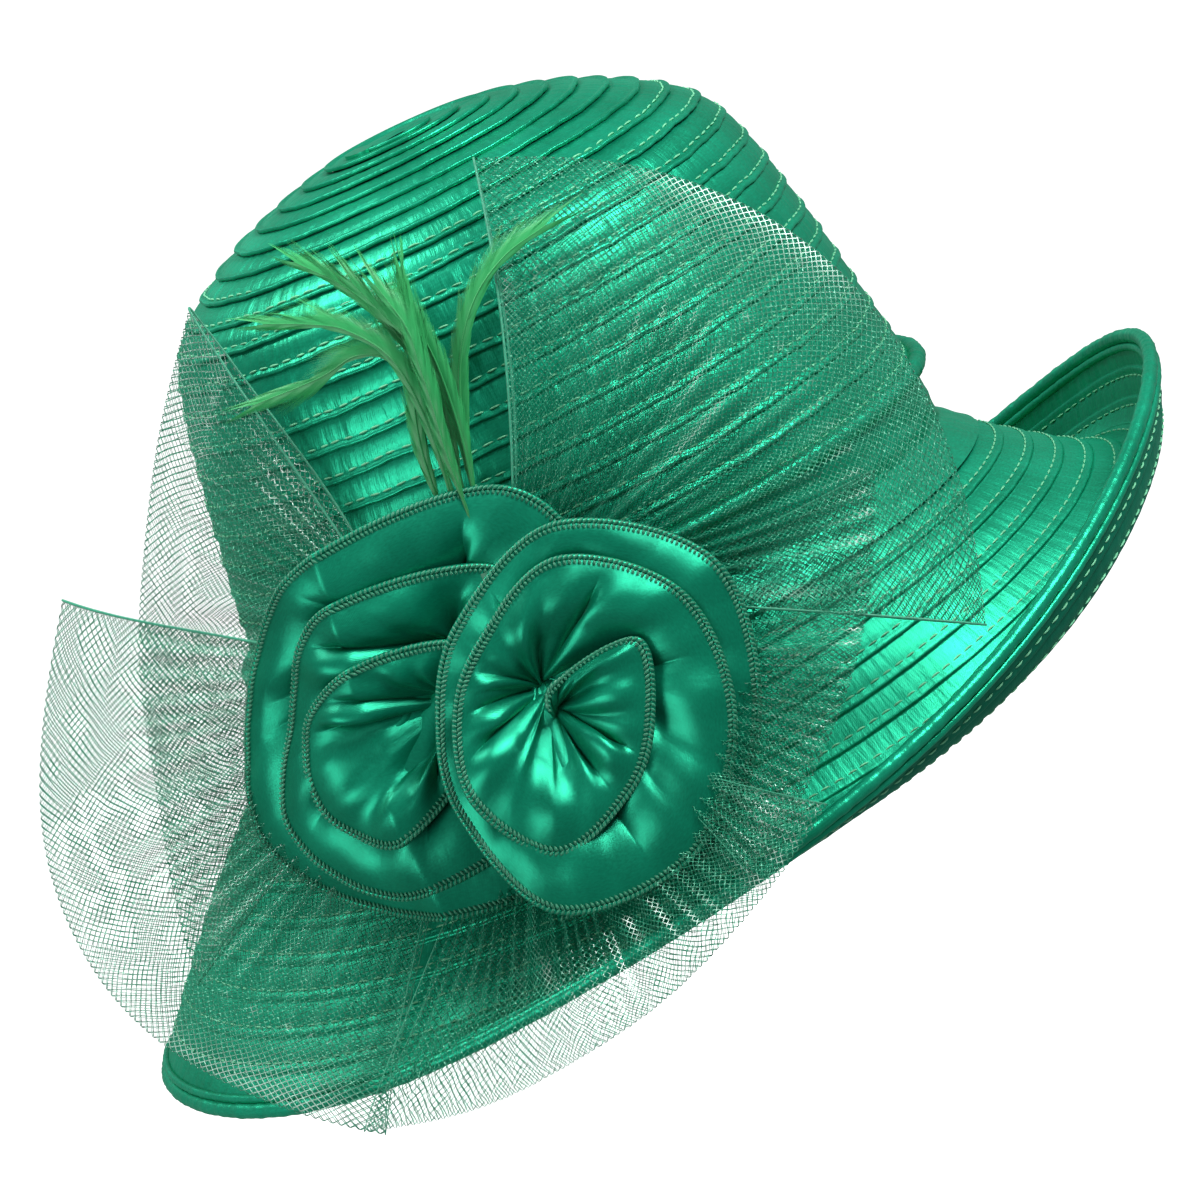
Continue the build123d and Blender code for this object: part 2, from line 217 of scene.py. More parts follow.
def tube(name, path, radius, sides=10, closed=False):
    points = tube_points(path, radius, sides, closed)
    step = np.linalg.norm(np.diff(np.asarray(path, float), axis=0), axis=1)
    length = np.concatenate([[0], np.cumsum(step)])
    if closed:
        length = np.append(length, length[-1] + step[-1])
    girth = np.linspace(0, 2 * math.pi * float(np.mean(radius)), sides + 1)
    uv = np.stack(np.meshgrid(length, girth, indexing="ij"), -1)
    return grid(name, points, uv, wrap_i=closed, wrap_j=True)


# ------------------------------------------------------------------ materials
def new_material(name):
    mat = bpy.data.materials.new(name)
    mat.use_nodes = True
    tree = mat.node_tree
    return mat, tree, tree.nodes["Principled BSDF"]


def maths(tree, operation, a, b=None, c=None, clamp=False):
    made = tree.nodes.new("ShaderNodeMath")
    made.operation = operation
    made.use_clamp = clamp
    for slot, value in enumerate((a, b, c)):
        if value is None:
            continue
        if isinstance(value, (int, float)):
            made.inputs[slot].default_value = value
        else:
            tree.links.new(value, made.inputs[slot])
    return made.outputs[0]


def uv_parts(tree):
    uv = tree.nodes.new("ShaderNodeUVMap")
    uv.uv_map = "UVMap"
    split = tree.nodes.new("ShaderNodeSeparateXYZ")
    tree.links.new(uv.outputs[0], split.inputs[0])
    return uv.outputs[0], split.outputs[0], split.outputs[1]


def mapped(tree, vector, scale):
    made = tree.nodes.new("ShaderNodeMapping")
    made.inputs["Scale"].default_value = scale
    tree.links.new(vector, made.inputs["Vector"])
    return made.outputs[0]


def noise(tree, vector, scale, detail=3.0, rough=0.55):
    made = tree.nodes.new("ShaderNodeTexNoise")
    made.inputs["Scale"].default_value = scale
    made.inputs["Detail"].default_value = detail
    made.inputs["Roughness"].default_value = rough
    tree.links.new(vector, made.inputs["Vector"])
    return made.outputs["Fac"]


def ramp(tree, fac, stops):
    made = tree.nodes.new("ShaderNodeValToRGB")
    elements = made.color_ramp.elements
    while len(elements) < len(stops):
        elements.new(0.5)
    for element, (at, colour) in zip(elements, stops):
        element.position = at
        element.color = (*colour, 1)
    tree.links.new(fac, made.inputs[0])
    return made.outputs[0]


def bump(tree, bsdf, height, strength, distance, normal=None):
    made = tree.nodes.new("ShaderNodeBump")
    made.inputs["Strength"].default_value = strength
    made.inputs["Distance"].default_value = distance
    tree.links.new(height, made.inputs["Height"])
    if normal is not None:
        tree.links.new(normal, made.inputs["Normal"])
    tree.links.new(made.outputs[0], bsdf.inputs["Normal"])
    return made.outputs[0]


def satin(name, dark, light, roughness, wrinkle, wrinkle_scale, weave=0.25, aniso=0.55, metal=0.6):
    """Satin ribbon: fine warp lines, a soft bright sheen, small pulled wrinkles. UVs are in mm."""
    mat, tree, bsdf = new_material(name)
    uv, u, v = uv_parts(tree)
    wide = noise(tree, mapped(tree, uv, (0.03, 0.03, 1)), 1.0, 3)
    fine = noise(tree, mapped(tree, uv, (0.5, 2.2, 1)), 1.0, 3, 0.6)
    mix = maths(tree, "ADD", maths(tree, "MULTIPLY", wide, 0.6), maths(tree, "MULTIPLY", fine, 0.4))
    tree.links.new(ramp(tree, mix, [(0.3, dark), (0.7, light)]), bsdf.inputs["Base Color"])
    warp = maths(tree, "SINE", maths(tree, "MULTIPLY", v, 2 * math.pi / 0.42))
    slant = maths(tree, "ADD", u, maths(tree, "MULTIPLY", v, 0.8))
    weft = maths(tree, "SINE", maths(tree, "MULTIPLY", slant, 2 * math.pi / 0.6))
    threads = maths(tree, "MULTIPLY", warp, weft)
    first = bump(tree, bsdf, threads, weave, 0.00004)
    folds = noise(tree, mapped(tree, uv, wrinkle_scale), 1.0, 4, 0.55)
    bump(tree, bsdf, folds, wrinkle, 0.0011, first)
    rough = maths(tree, "ADD", roughness - 0.06, maths(tree, "MULTIPLY", fine, 0.12))
    tree.links.new(rough, bsdf.inputs["Roughness"])
    bsdf.inputs["Metallic"].default_value = metal
    bsdf.inputs["Specular IOR Level"].default_value = 0.6
    bsdf.inputs["Specular Tint"].default_value = (0.35, 1.0, 0.74, 1)
    bsdf.inputs["Anisotropic"].default_value = aniso
    bsdf.inputs["Sheen Weight"].default_value = 0.06
    bsdf.inputs["Sheen Roughness"].default_value = 0.3
    bsdf.inputs["Sheen Tint"].default_value = (0.2, 0.95, 0.6, 1)
    return mat


def thread_material(name, colour):
    mat, tree, bsdf = new_material(name)
    place = tree.nodes.new("ShaderNodeTexCoord")
    speck = noise(tree, place.outputs["Object"], 900, 3)
    shade = ramp(tree, speck, [(0.3, tuple(c * 0.6 for c in colour)), (0.7, colour)])
    tree.links.new(shade, bsdf.inputs["Base Color"])
    bump(tree, bsdf, noise(tree, place.outputs["Object"], 2600, 2), 0.6, 0.0001)
    bsdf.inputs["Roughness"].default_value = 0.5
    bsdf.inputs["Sheen Weight"].default_value = 0.4
    bsdf.inputs["Sheen Tint"].default_value = (0.5, 1, 0.75, 1)
    return mat


def cloth_material(name, dark, light, pitch):
    """Plain woven or stiffened cloth for the pieces that the trimming hides."""
    mat, tree, bsdf = new_material(name)
    place = tree.nodes.new("ShaderNodeTexCoord")
    split = tree.nodes.new("ShaderNodeSeparateXYZ")
    tree.links.new(place.outputs["Object"], split.inputs[0])
    rate = 2 * math.pi / (pitch * MM)
    lines = [maths(tree, "SINE", maths(tree, "MULTIPLY", out, rate)) for out in split.outputs]
    weave = maths(tree, "ADD", maths(tree, "MULTIPLY", lines[0], lines[1]), lines[2])
    level = maths(tree, "MULTIPLY_ADD", weave, 0.2, 0.5)
    tree.links.new(ramp(tree, level, [(0.2, dark), (0.8, light)]), bsdf.inputs["Base Color"])
    bump(tree, bsdf, level, 0.5, 0.0002)
    bsdf.inputs["Roughness"].default_value = 0.75
    bsdf.inputs["Sheen Weight"].default_value = 0.2
    return mat


def net_material(name):
    """Nylon horsehair braid: two sets of diagonal clear strands with open cells. UVs are in mm."""
    mat, tree, bsdf = new_material(name)
    uv, u, v = uv_parts(tree)
    wobble = maths(tree, "MULTIPLY", maths(tree, "SUBTRACT", noise(tree, uv, 0.05, 2), 0.5), 3.0)
    masks = []
    for sign in (1, -1):
        run = maths(tree, "MULTIPLY_ADD", v, sign * 0.70, maths(tree, "MULTIPLY", u, 0.72))
        run = maths(tree, "ADD", run, wobble)
        cell = maths(tree, "FRACT", maths(tree, "DIVIDE", run, NET_PITCH))
        off = maths(tree, "ABSOLUTE", maths(tree, "SUBTRACT", cell, 0.5))
        masks.append(maths(tree, "LESS_THAN", off, NET_STRAND))
    strands_here = maths(tree, "MAXIMUM", masks[0], masks[1])
    # Strand colour: dark green, with painted glints (pale highlight blotches) where the noise is high.
    painted_glint = noise(tree, mapped(tree, uv, (0.9, 2.6, 1)), 1.0, 2)
    stops = [(0.40, (0.001, 0.10, 0.05)), (0.58, (0.006, 0.24, 0.13)), (0.72, (0.30, 0.78, 0.56))]
    shade = ramp(tree, painted_glint, stops)
    tree.links.new(shade, bsdf.inputs["Base Color"])
    bsdf.inputs["Roughness"].default_value = 0.28
    bsdf.inputs["Specular IOR Level"].default_value = 0.8
    tree.links.new(strands_here, bsdf.inputs["Alpha"])
    return mat


green_dark, green_light = (0.0012, 0.190, 0.095), (0.0100, 0.400, 0.225)
crown_satin = satin("crown_satin", green_dark, green_light, 0.33, 0.55, (0.30, 0.05, 1))
brim_satin = satin("brim_satin", green_dark, green_light, 0.40, 0.5, (0.30, 0.05, 1))
under_dark, under_light = (0.001, 0.10, 0.055), (0.006, 0.22, 0.13)
under_satin = satin("under_satin", under_dark, under_light, 0.52, 0.4, (0.3, 0.05, 1), aniso=0.3)
trim_satin = satin("trim_satin", (0.0015, 0.20, 0.10), (0.012, 0.42, 0.24), 0.33, 0.6, (0.22, 0.09, 1))
rose_dark, rose_light = (0.0006, 0.13, 0.070), (0.004, 0.27, 0.150)
rose_satin = satin("rose_satin", rose_dark, rose_light, 0.33, 0.22, (0.06, 0.06, 1), aniso=0.5)
stitch_thread = thread_material("stitch_thread", (0.16, 0.60, 0.33))
serge_thread = thread_material("serge_thread", (0.002, 0.19, 0.095))
grosgrain = cloth_material("grosgrain", (0.002, 0.09, 0.05), (0.006, 0.19, 0.11), 0.8)
buckram = cloth_material("buckram", (0.004, 0.09, 0.05), (0.012, 0.2, 0.11), 1.2)
cord_cotton = cloth_material("cord_cotton", (0.35, 0.33, 0.27), (0.75, 0.72, 0.62), 0.9)
wire_thread = cloth_material("wire_thread", (0.2, 0.2, 0.18), (0.5, 0.5, 0.46), 0.5)
net_mesh = net_material("net_mesh")
net_cord = thread_material("net_cord", (0.02, 0.30, 0.17))


def give(ob, mat, body="hat", nodes=()):
    ob.data.materials.clear()
    ob.data.materials.append(mat)
    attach(ob, body)
    if nodes:
        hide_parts(*nodes)
    return ob


# ------------------------------------------------------------------ crown
profile = smooth_path(CROWN_PROFILE, 900)
profile_length = np.concatenate([[0], np.cumsum(np.linalg.norm(np.diff(profile, axis=0), axis=1))])
profile_tangent = unit(np.gradient(profile, axis=0))


def on_crown(s, phi, lift):
    """Point on the crown at length s down from the tip, at angle phi, lifted off its inner face."""
    s = np.clip(s, 0, profile_length[-1])
    r = np.interp(s, profile_length, profile[:, 0])
    z = np.interp(s, profile_length, profile[:, 1])
    tr = np.interp(s, profile_length, profile_tangent[:, 0])
    tz = np.interp(s, profile_length, profile_tangent[:, 1])
    r = np.maximum(r - tz * lift, 0)
    z = z + tr * lift
    return np.stack([r * np.sin(phi), r * np.cos(phi), z], -1)


TURNS = 22.6
PER_TURN = 560
theta = np.arange(int(TURNS * PER_TURN) + 1) * 2 * math.pi / PER_TURN
# Across one row: share of the pitch, and height over the row's seat.
ROW_SECTION = [
    (0.00, -0.55), (0.14, -0.30), (0.28, 0.02), (0.44, 0.16), (0.60, 0.26), (0.74, 0.30), (0.86, 0.16),
    (0.92, 0.13), (0.98, 0.30), (1.04, 0.62), (1.10, 0.80), (1.15, 0.70), (1.17, 0.42), (1.15, 0.05),
]
share = np.array([p[0] for p in ROW_SECTION])
rise = np.array([p[1] for p in ROW_SECTION])
turn = theta / (2 * math.pi)
s_start = turn * ROW_PITCH
radius_here = np.interp(s_start, profile_length, profile[:, 0])
arc = np.concatenate([[0], np.cumsum((radius_here[1:] + radius_here[:-1]) / 2 * np.diff(theta))])
corded = 1 - smoothstep(7.0, 10.0, turn)
edge_wave = ripple(arc, [(61, 0.10), (23, 0.07), (11.3, 0.05), (5.1, 0.03)], 1)
pull = ripple(arc, [(9.1, 0.05), (4.7, 0.05), (3.1, 0.035), (2.3, 0.02)], 2)
pull = pull * (0.6 + 0.4 * ripple(arc, [(83, 1.0)], 3))
swell = ripple(arc, [(173, 0.25), (71, 0.14)], 4)
bulge = rise[None, :] * (1 + 0.35 * corded[:, None] * (share[None, :] > 0.9))
middle_of_row = np.clip(np.sin(math.pi * np.clip(share, 0, 1)), 0, 1)
bulge = bulge + pull[:, None] * middle_of_row[None, :] * 1.3
bulge = bulge + swell[:, None] * smoothstep(0, 0.3, share)[None, :] * 0.5
s_grid = s_start[:, None] + share[None, :] * ROW_PITCH + edge_wave[:, None] * (share[None, :] > 0.8) * 2
crown_points = on_crown(s_grid, theta[:, None], 0.25 + bulge)
crown_v = s_grid - s_start[:, None] + 40 * np.sin(turn[:, None])
crown_uv = np.stack([np.broadcast_to(arc[:, None], s_grid.shape), crown_v], -1)
give(grid("crown_rows", crown_points, crown_uv), crown_satin, nodes=("crown_braid",))

# Inside face of the crown, seen from below.
INNER_SIZE = (240, 260)
inner_s = np.linspace(0.5, profile_length[-1] - 0.1, INNER_SIZE[1])
inner_phi = np.linspace(0, 2 * math.pi, INNER_SIZE[0], endpoint=False)
saw = (inner_s / ROW_PITCH) % 1.0
inner_lift = -BRAID + 0.5 * smoothstep(0.0, 0.12, saw) * (1 - saw) - 0.25
inner_across = np.broadcast_to(inner_s, INNER_SIZE)
inner_points = on_crown(inner_across, inner_phi[:, None], np.broadcast_to(inner_lift, INNER_SIZE))
inner_round = np.append(inner_phi, 2 * math.pi) * 80
inner_uv = np.stack(np.meshgrid(inner_round, inner_s, indexing="ij"), -1)
give(grid("crown_inside", inner_points, inner_uv, wrap_i=True), under_satin)

# Running stitches along the rows below the shoulder.
start_arc = np.interp(7.4, turn, arc)
marks = np.arange(start_arc, np.interp(20.6, turn, arc), STITCH_PITCH)
marks = marks + rng.uniform(-0.35, 0.35, len(marks))


def crown_seam(at, lift):
    th = np.interp(at, arc, theta)
    s = th / (2 * math.pi) * ROW_PITCH + ROW_PITCH * 1.15 - STITCH_IN - 0.2
    s = s + np.interp(at, arc, edge_wave) * 2
    return on_crown(s, th, lift)


seam_up = unit(crown_seam(marks + 1.4, 2.0) - crown_seam(marks + 1.4, 0.5))
lengths = STITCH_LENGTH * rng.uniform(0.85, 1.08, len(marks))
seam_ends = [crown_seam(marks, 0.46), crown_seam(marks + lengths, 0.46)]
give(strands("crown_stitches", *seam_ends, seam_up, THREAD, 0.24), stitch_thread)


# ------------------------------------------------------------------ brim
def brim_poles(phi, lift):
    """Bezier poles (radius, height) of the brim's section at each phi, lifted off its underside."""
    a, b = np.radians(around(ROOT_SLOPE, phi)), np.radians(around(RIM_SLOPE, phi))
    start, end = np.stack([np.cos(a), np.sin(a)], -1), np.stack([np.cos(b), np.sin(b)], -1)
    start_left, end_left = np.stack([-np.sin(a), np.cos(a)], -1), np.stack([-np.sin(b), np.cos(b)], -1)
    root = np.array([BRIM_ROOT, -1.2]) + start_left * lift
    rim = np.stack([around(RIM_RADIUS, phi), around(RIM_RISE, phi)], -1) + end_left * (lift - BRIM_THICK)
    near_root = root + start * around(ROOT_PULL, phi)[..., None]
    near_rim = rim - end * around(RIM_PULL, phi)[..., None]
    return [root, near_root, near_rim, rim]


def bezier(poles, t):
    """(station, t) points of the Bezier sections; poles are arrays of (station, 2)."""
    p = [q[:, None] for q in poles]
    t = t[..., None]
    return p[0] * (1 - t) ** 3 + p[1] * 3 * t * (1 - t) ** 2 + p[2] * 3 * t**2 * (1 - t) + p[3] * t**3


def on_brim(phi, fraction, lift):
    """Points on the brim at each phi (n) and share of its width (n, m), lifted (n, m) off its underside."""
    base = brim_poles(phi, 0.0)
    fine_t = np.linspace(0, 1, 120)
    line = bezier(base, np.broadcast_to(fine_t, (len(phi), 120)))
    step = np.linalg.norm(np.diff(line, axis=1), axis=2)
    run = np.concatenate([np.zeros((len(phi), 1)), np.cumsum(step, 1)], 1)
    run = run / run[:, -1:]
    t = np.stack([np.interp(fraction[i], run[i], fine_t) for i in range(len(phi))])
    low = bezier(base, t)
    high = bezier(brim_poles(phi, BRIM_THICK), t)
    point = low + (high - low) * (lift / BRIM_THICK)[..., None]
    x, y = point[..., 0] * np.sin(phi)[:, None], point[..., 0] * np.cos(phi)[:, None]
    return np.stack([x, y, point[..., 1]], -1)


BRIM_STEPS = 900
phi = np.arange(BRIM_STEPS) * 2 * math.pi / BRIM_STEPS
BRIM_MIDDLE = 125.0  # radius that the brim's lengths are counted at
ROW_UV = 7.6
brim_arc = phi * BRIM_MIDDLE
fractions, lifts, across = [], [], []
row_width = 1.0 / BRIM_ROWS
BRIM_SECTION = [
    (0.02, -0.45), (0.16, -0.20), (0.32, 0.05), (0.50, 0.18), (0.66, 0.24), (0.76, 0.12), (0.82, 0.10),
    (0.90, 0.30), (0.99, 0.52), (1.06, 0.50), (1.09, 0.20), (1.07, -0.15),
]
for row in range(BRIM_ROWS):
    wave = ripple(brim_arc, [(53, 0.010), (19, 0.007), (9, 0.004)], 20 + row)
    pucker = ripple(brim_arc, [(8.3, 0.05), (4.1, 0.05), (2.9, 0.03)], 40 + row)
    pucker = pucker * (0.7 + 0.3 * ripple(brim_arc, [(97, 1)], 60 + row))
    for c, h in BRIM_SECTION:
        edge = min(c, 1.0) if row == BRIM_ROWS - 1 else c
        fractions.append((row + edge) * row_width + wave * row_width * (c > 0.8))
        lifts.append(BRIM_THICK - 0.15 + h + pucker * math.sin(math.pi * min(c, 1)) * 1.2)
        across.append((row + c) * ROW_UV)
fractions, lifts = np.clip(np.stack(fractions, 1), 0, 1), np.stack(lifts, 1)
top_points = on_brim(phi, fractions, lifts)
ring_arc = np.append(brim_arc, 2 * math.pi * BRIM_MIDDLE)
top_uv = np.stack(np.meshgrid(ring_arc, np.array(across), indexing="ij"), -1)
give(grid("brim_rows", top_points, top_uv, wrap_i=True), brim_satin, nodes=("brim_braid",))

UNDER_SECTION = [
    (-0.07, -0.05), (-0.08, -0.35), (-0.03, -0.5), (0.1, -0.34), (0.2, -0.06),
    (0.27, -0.16), (0.45, -0.22), (0.65, -0.12), (0.85, 0.15), (0.95, 0.3),
]

fractions, lifts, across = [], [], []
for row in range(BRIM_ROWS):
    pucker = ripple(brim_arc, [(9.3, 0.04), (5.1, 0.04), (3.3, 0.02)], 80 + row)
    for c, h in UNDER_SECTION:
        edge = max(c, 0) if row == 0 else c
        fractions.append(np.full(len(phi), (row + edge) * row_width))
        lifts.append(0.15 + h + pucker * 0.8)
        across.append((row + c) * ROW_UV)
fractions, lifts = np.clip(np.stack(fractions, 1), 0, 1), np.stack(lifts, 1)
under_points = on_brim(phi, fractions, lifts)
under_uv = np.stack(np.meshgrid(ring_arc, np.array(across), indexing="ij"), -1)
give(grid("brim_under", under_points, under_uv, wrap_i=True), under_satin)


def brim_seams(name, lift, sign, inset):
    """Running stitches along every row, at a share of its width; sign is the side they arch to."""
    a, b, up = [], [], []
    for row in range(BRIM_ROWS):
        girth = 2 * math.pi * (95 + 5.4 * row)
        count = int(girth / STITCH_PITCH)
        at = (np.arange(count) + rng.uniform(-0.08, 0.08, count)) * 2 * math.pi / count
        span = 2 * math.pi / count * STITCH_LENGTH / STITCH_PITCH
        f = (row + inset) * row_width
        place, height = np.full((count, 1), f), np.full((count, 1), lift)
        ends = [on_brim(x, place, height)[:, 0] for x in (at, at + span)]
        away = on_brim(at, place, height + sign * 2)[:, 0]
        a.append(ends[0])
        b.append(ends[1])
        up.append(unit(away - ends[0]))
    return strands(name, np.vstack(a), np.vstack(b), np.vstack(up), THREAD, 0.2)


give(brim_seams("brim_stitches", BRIM_THICK + 0.08, 1, 0.80), stitch_thread)
give(brim_seams("under_stitches", -0.02, -1, 0.20), stitch_thread)


# ------------------------------------------------------------------ rim
def rim_line(reach, lift):
    """Closed line beyond the brim's edge by reach, and off the middle of its thickness by lift."""
    poles = brim_poles(phi, BRIM_THICK / 2)
    way = unit(poles[3] - poles[2])
    left = np.stack([-way[:, 1], way[:, 0]], 1)
    point = poles[3] + way * reach + left * lift
    return np.stack([point[:, 0] * np.sin(phi), point[:, 0] * np.cos(phi), point[:, 1]], 1)


# Satin rolled over the wire, with a second piping against each face.
RIM_PIECES = [  # name, reach, lift, radius, seed, nodes it stands for
    ("rim_binding_satin", 0.75, 0, 1.95, 5, ("rim_binding",)),
    ("rim_piping_upper", -2.0, 1.15, 1.05, 6, ()),
    ("rim_piping_lower", -2.0, -1.15, 1.05, 7, ()),
]
for name, reach, lift, radius, seed, nodes in RIM_PIECES:
    size = radius * (1 + ripple(brim_arc, [(7.1, 0.03), (3.9, 0.03), (17, 0.02)], seed))
    ob = tube(name, rim_line(reach, lift), size, 12, closed=True)
    give(ob, trim_satin, nodes=nodes)

# ------------------------------------------------------------------ band, rouleau
BAND_STEPS, BAND_LINES = 720, 27
KNEE_LINE, KNEE_HEIGHT = 14, 2.6  # where the band starts to turn out over the brim
band_phi = np.arange(BAND_STEPS) * 2 * math.pi / BAND_STEPS
band_arc = np.append(band_phi, 2 * math.pi) * BAND_RADIUS
poles = brim_poles(band_phi, BRIM_THICK + 1.2)
foot = bezier(poles, np.full((BAND_STEPS, 1), 0.075))[:, 0]
upright = np.full(BAND_STEPS, BAND_RADIUS)
knee = np.stack([upright, np.full(BAND_STEPS, KNEE_HEIGHT)], 1)
rows = []
for k in range(BAND_LINES):
    if k < KNEE_LINE:
        height = BAND_TOP + (KNEE_HEIGHT - BAND_TOP) * k / KNEE_LINE
        point = np.stack([upright, np.full(BAND_STEPS, height)], 1)
    else:
        t = (k - KNEE_LINE) / (BAND_LINES - 1 - KNEE_LINE)
        point = knee * (1 - t) ** 2 + poles[0] * 2 * t * (1 - t) + foot * t**2
    crease = ripple(band_arc[:-1] + k * 3.1, [(47, 0.18), (21, 0.12)], 90) * math.sin(math.pi * k / 26)
    crease = crease + 0.16 * np.sin(k * 0.9 + ripple(band_arc[:-1], [(120, 1.4), (43, 0.7)], 91))
    point = point + np.array([1.0, 0.2]) * crease[:, None]
    rows.append(np.stack([point[:, 0] * np.sin(band_phi), point[:, 0] * np.cos(band_phi), point[:, 1]], 1))
band_points = np.stack(rows, 1)
band_uv = np.stack(np.meshgrid(band_arc, np.linspace(0, 21, BAND_LINES), indexing="ij"), -1)
band = grid("hat_band_satin", band_points, band_uv, wrap_i=True)
give(band, trim_satin, nodes=("hat_band",))

twist = ripple(band_arc[:-1], [(13, 0.03), (5.9, 0.04), (3.7, 0.03)], 95)
ring_x, ring_y = ROULEAU_AT[0] * np.sin(band_phi), ROULEAU_AT[0] * np.cos(band_phi)
rouleau_path = np.stack([ring_x, ring_y, np.full(BAND_STEPS, ROULEAU_AT[1])], 1)
rouleau = tube("rouleau_satin", rouleau_path, ROULEAU_RADIUS * (1 + twist), 16, closed=True)
give(rouleau, trim_satin, nodes=("band_rouleau",))

# ------------------------------------------------------------------ the trimming's base plane
pad_n = np.array([cosd(PAD_TILT) * cosd(PAD_TURN), cosd(PAD_TILT) * sind(PAD_TURN), sind(PAD_TILT)])
pad_u = unit(np.cross([0, 0, 1], pad_n))
pad_v = np.cross(pad_n, pad_u)
pad_middle = np.array([PAD_STAND * cosd(PAD_TURN), PAD_STAND * sind(PAD_TURN), PAD_RISE])


def on_pad(x, y, z):
    """Point on the pad's plane: along it to the back of the hat, up it, and off it."""
    outer = np.multiply.outer
    return pad_middle + outer(x, pad_u) + outer(y, pad_v) + outer(z, pad_n)


# ------------------------------------------------------------------ roses
LEAN = 26.0  # the roses' turns are described leaning by this much from upright


def rose(name, seat, turn_deg, start, radii, pit, pits, nodes, seed, wide=1.0, press=0.0, press_from=0.0):
    """Ribbon gathered along one edge and wound in a spiral, with a serged free edge.

    radii are the free edge's distances from the pit, from start on, one every 45 degrees. pits are the
    gathered edge's places along the spiral. press is how far the side beyond press_from is pushed back.
    """
    tilt = ROSE_TILT
    face = np.array([cosd(tilt) * cosd(turn_deg), cosd(tilt) * sind(turn_deg), sind(tilt)])
    right = unit(np.cross([0, 0, 1], face))
    up = np.cross(face, right)
    origin = on_pad(*seat)
    angles = start + 45.0 * np.arange(len(radii)) - LEAN
    ways = np.stack([np.cos(np.radians(angles)), np.sin(np.radians(angles))], 1)
    edge_xy = np.array(radii)[:, None] * ways
    edge_xy[:, 0] *= wide
    edge_xy = edge_xy + np.array(pit)
    n = 1100
    edge_xy = smooth_path(edge_xy, n)
    step = np.linalg.norm(np.diff(edge_xy, axis=0), axis=1)
    length = np.concatenate([[0], np.cumsum(step)])
    rel = edge_xy - np.array(pit)
    ang = np.unwrap(np.arctan2(rel[:, 1], rel[:, 0]))
    turns = (ang - ang[0]) / (2 * math.pi)
    lean = math.radians(-LEAN)
    rot = np.array([[math.cos(lean), -math.sin(lean)], [math.sin(lean), math.cos(lean)]])
    pit_line = np.array([rot @ np.array(p) + np.array(pit) for p in pits])
    at = np.linspace(0, turns[-1], len(pits))
    gather = np.stack([np.interp(turns, at, pit_line[:, k]) for k in range(2)], 1)
    radius = np.linalg.norm(rel, axis=1)
    m = 34
    t = np.linspace(0, 1, m)[None, :]
    span = np.linalg.norm(gather - edge_xy, axis=1)[:, None]
    away = t * span
    rim_height = 9.5 * (radius / 50) ** 1.4 + 4.8 * turns
    rim_height = rim_height + ripple(length, [(71, 0.5), (33, 0.35), (14, 0.15)], seed)
    pit_height = -1.0 + 1.6 * turns
    z = rim_height[:, None] + (pit_height - rim_height)[:, None] * t**1.7
    z = z + 2.6 * np.sin(math.pi * np.clip(away / 20, 0, 1)) * (1 - 0.3 * t)
    fold = 2.6 * ang + ripple(ang, [(2.3, 0.8), (1.1, 0.5), (0.67, 0.25)], seed + 1)
    deep = 1 - 2 * np.abs(np.sin(fold)) ** 0.75
    minor = np.sin(8.3 * ang + ripple(ang, [(1.7, 1.0), (0.9, 0.8)], seed + 2))
    unevenness = 0.5 + 0.5 * ripple(ang, [(2.9, 0.6), (1.3, 0.4)], seed + 3)
    size = (0.35 + 0.65 * unevenness)[:, None]
    envelope = smoothstep(0.06, 0.62, t) * (1.06 - t) ** 0.5
    z = z - 5.2 * deep[:, None] * envelope * size * np.clip(span / 25, 0.3, 1)
    z = z + 1.3 * minor[:, None] * smoothstep(0.2, 0.9, t) * (1.04 - t) ** 0.4
    z = z + 1.1 * ripple(ang, [(0.9, 0.6), (0.47, 0.4)], seed + 4)[:, None] * smoothstep(0, 0.35, t)
    reach = t + 0.05 * np.sin(2 * fold)[:, None] * smoothstep(0.4, 1, t) * (1 - t) * 4
    xy = edge_xy[:, None] + (gather - edge_xy)[:, None] * np.clip(reach, 0, 0.985)[..., None]
    swirl = (0.16 * np.sin(fold * 2 + 1.0)[:, None] * envelope)[..., None]
    normal2 = np.stack([-(gather - edge_xy)[:, 1], (gather - edge_xy)[:, 0]], 1)[:, None]
    xy = xy + normal2 * swirl * 0.35
    z = z + 3.0
    z = z - press * np.maximum(xy[..., 0] - press_from, 0)
    points = origin + xy[..., 0:1] * right + xy[..., 1:2] * up + z[..., None] * face
    uv = np.stack([np.broadcast_to(length[:, None] * 1.6, (n, m)), np.broadcast_to(away, (n, m))], -1)
    ob = give(grid(name, points, uv), rose_satin, nodes=nodes)
    thick = ob.modifiers.new("cloth", "SOLIDIFY")
    thick.thickness = 0.0005
    thick.offset = 0
    # Serged edge: a roll, and two rows of slanted loops.
    edge = points[:, 0]
    inward = unit(points[:, 2] - points[:, 0])
    tangent = unit(np.gradient(edge, axis=0))
    normal = unit(np.cross(tangent, inward))
    normal = normal * np.sign(np.sum(normal * face, 1))[:, None]
    roll = tube(name + "_roll", edge + inward * 0.35, 0.80, 8)
    give(roll, rose_satin)
    real = np.concatenate([[0], np.cumsum(np.linalg.norm(np.diff(edge, axis=0), axis=1))])
    k = np.arange(0.5, real[-1] - 1.5, 1.25)

    def take(array, where):
        return np.stack([np.interp(where, real, array[:, c]) for c in range(3)], 1)

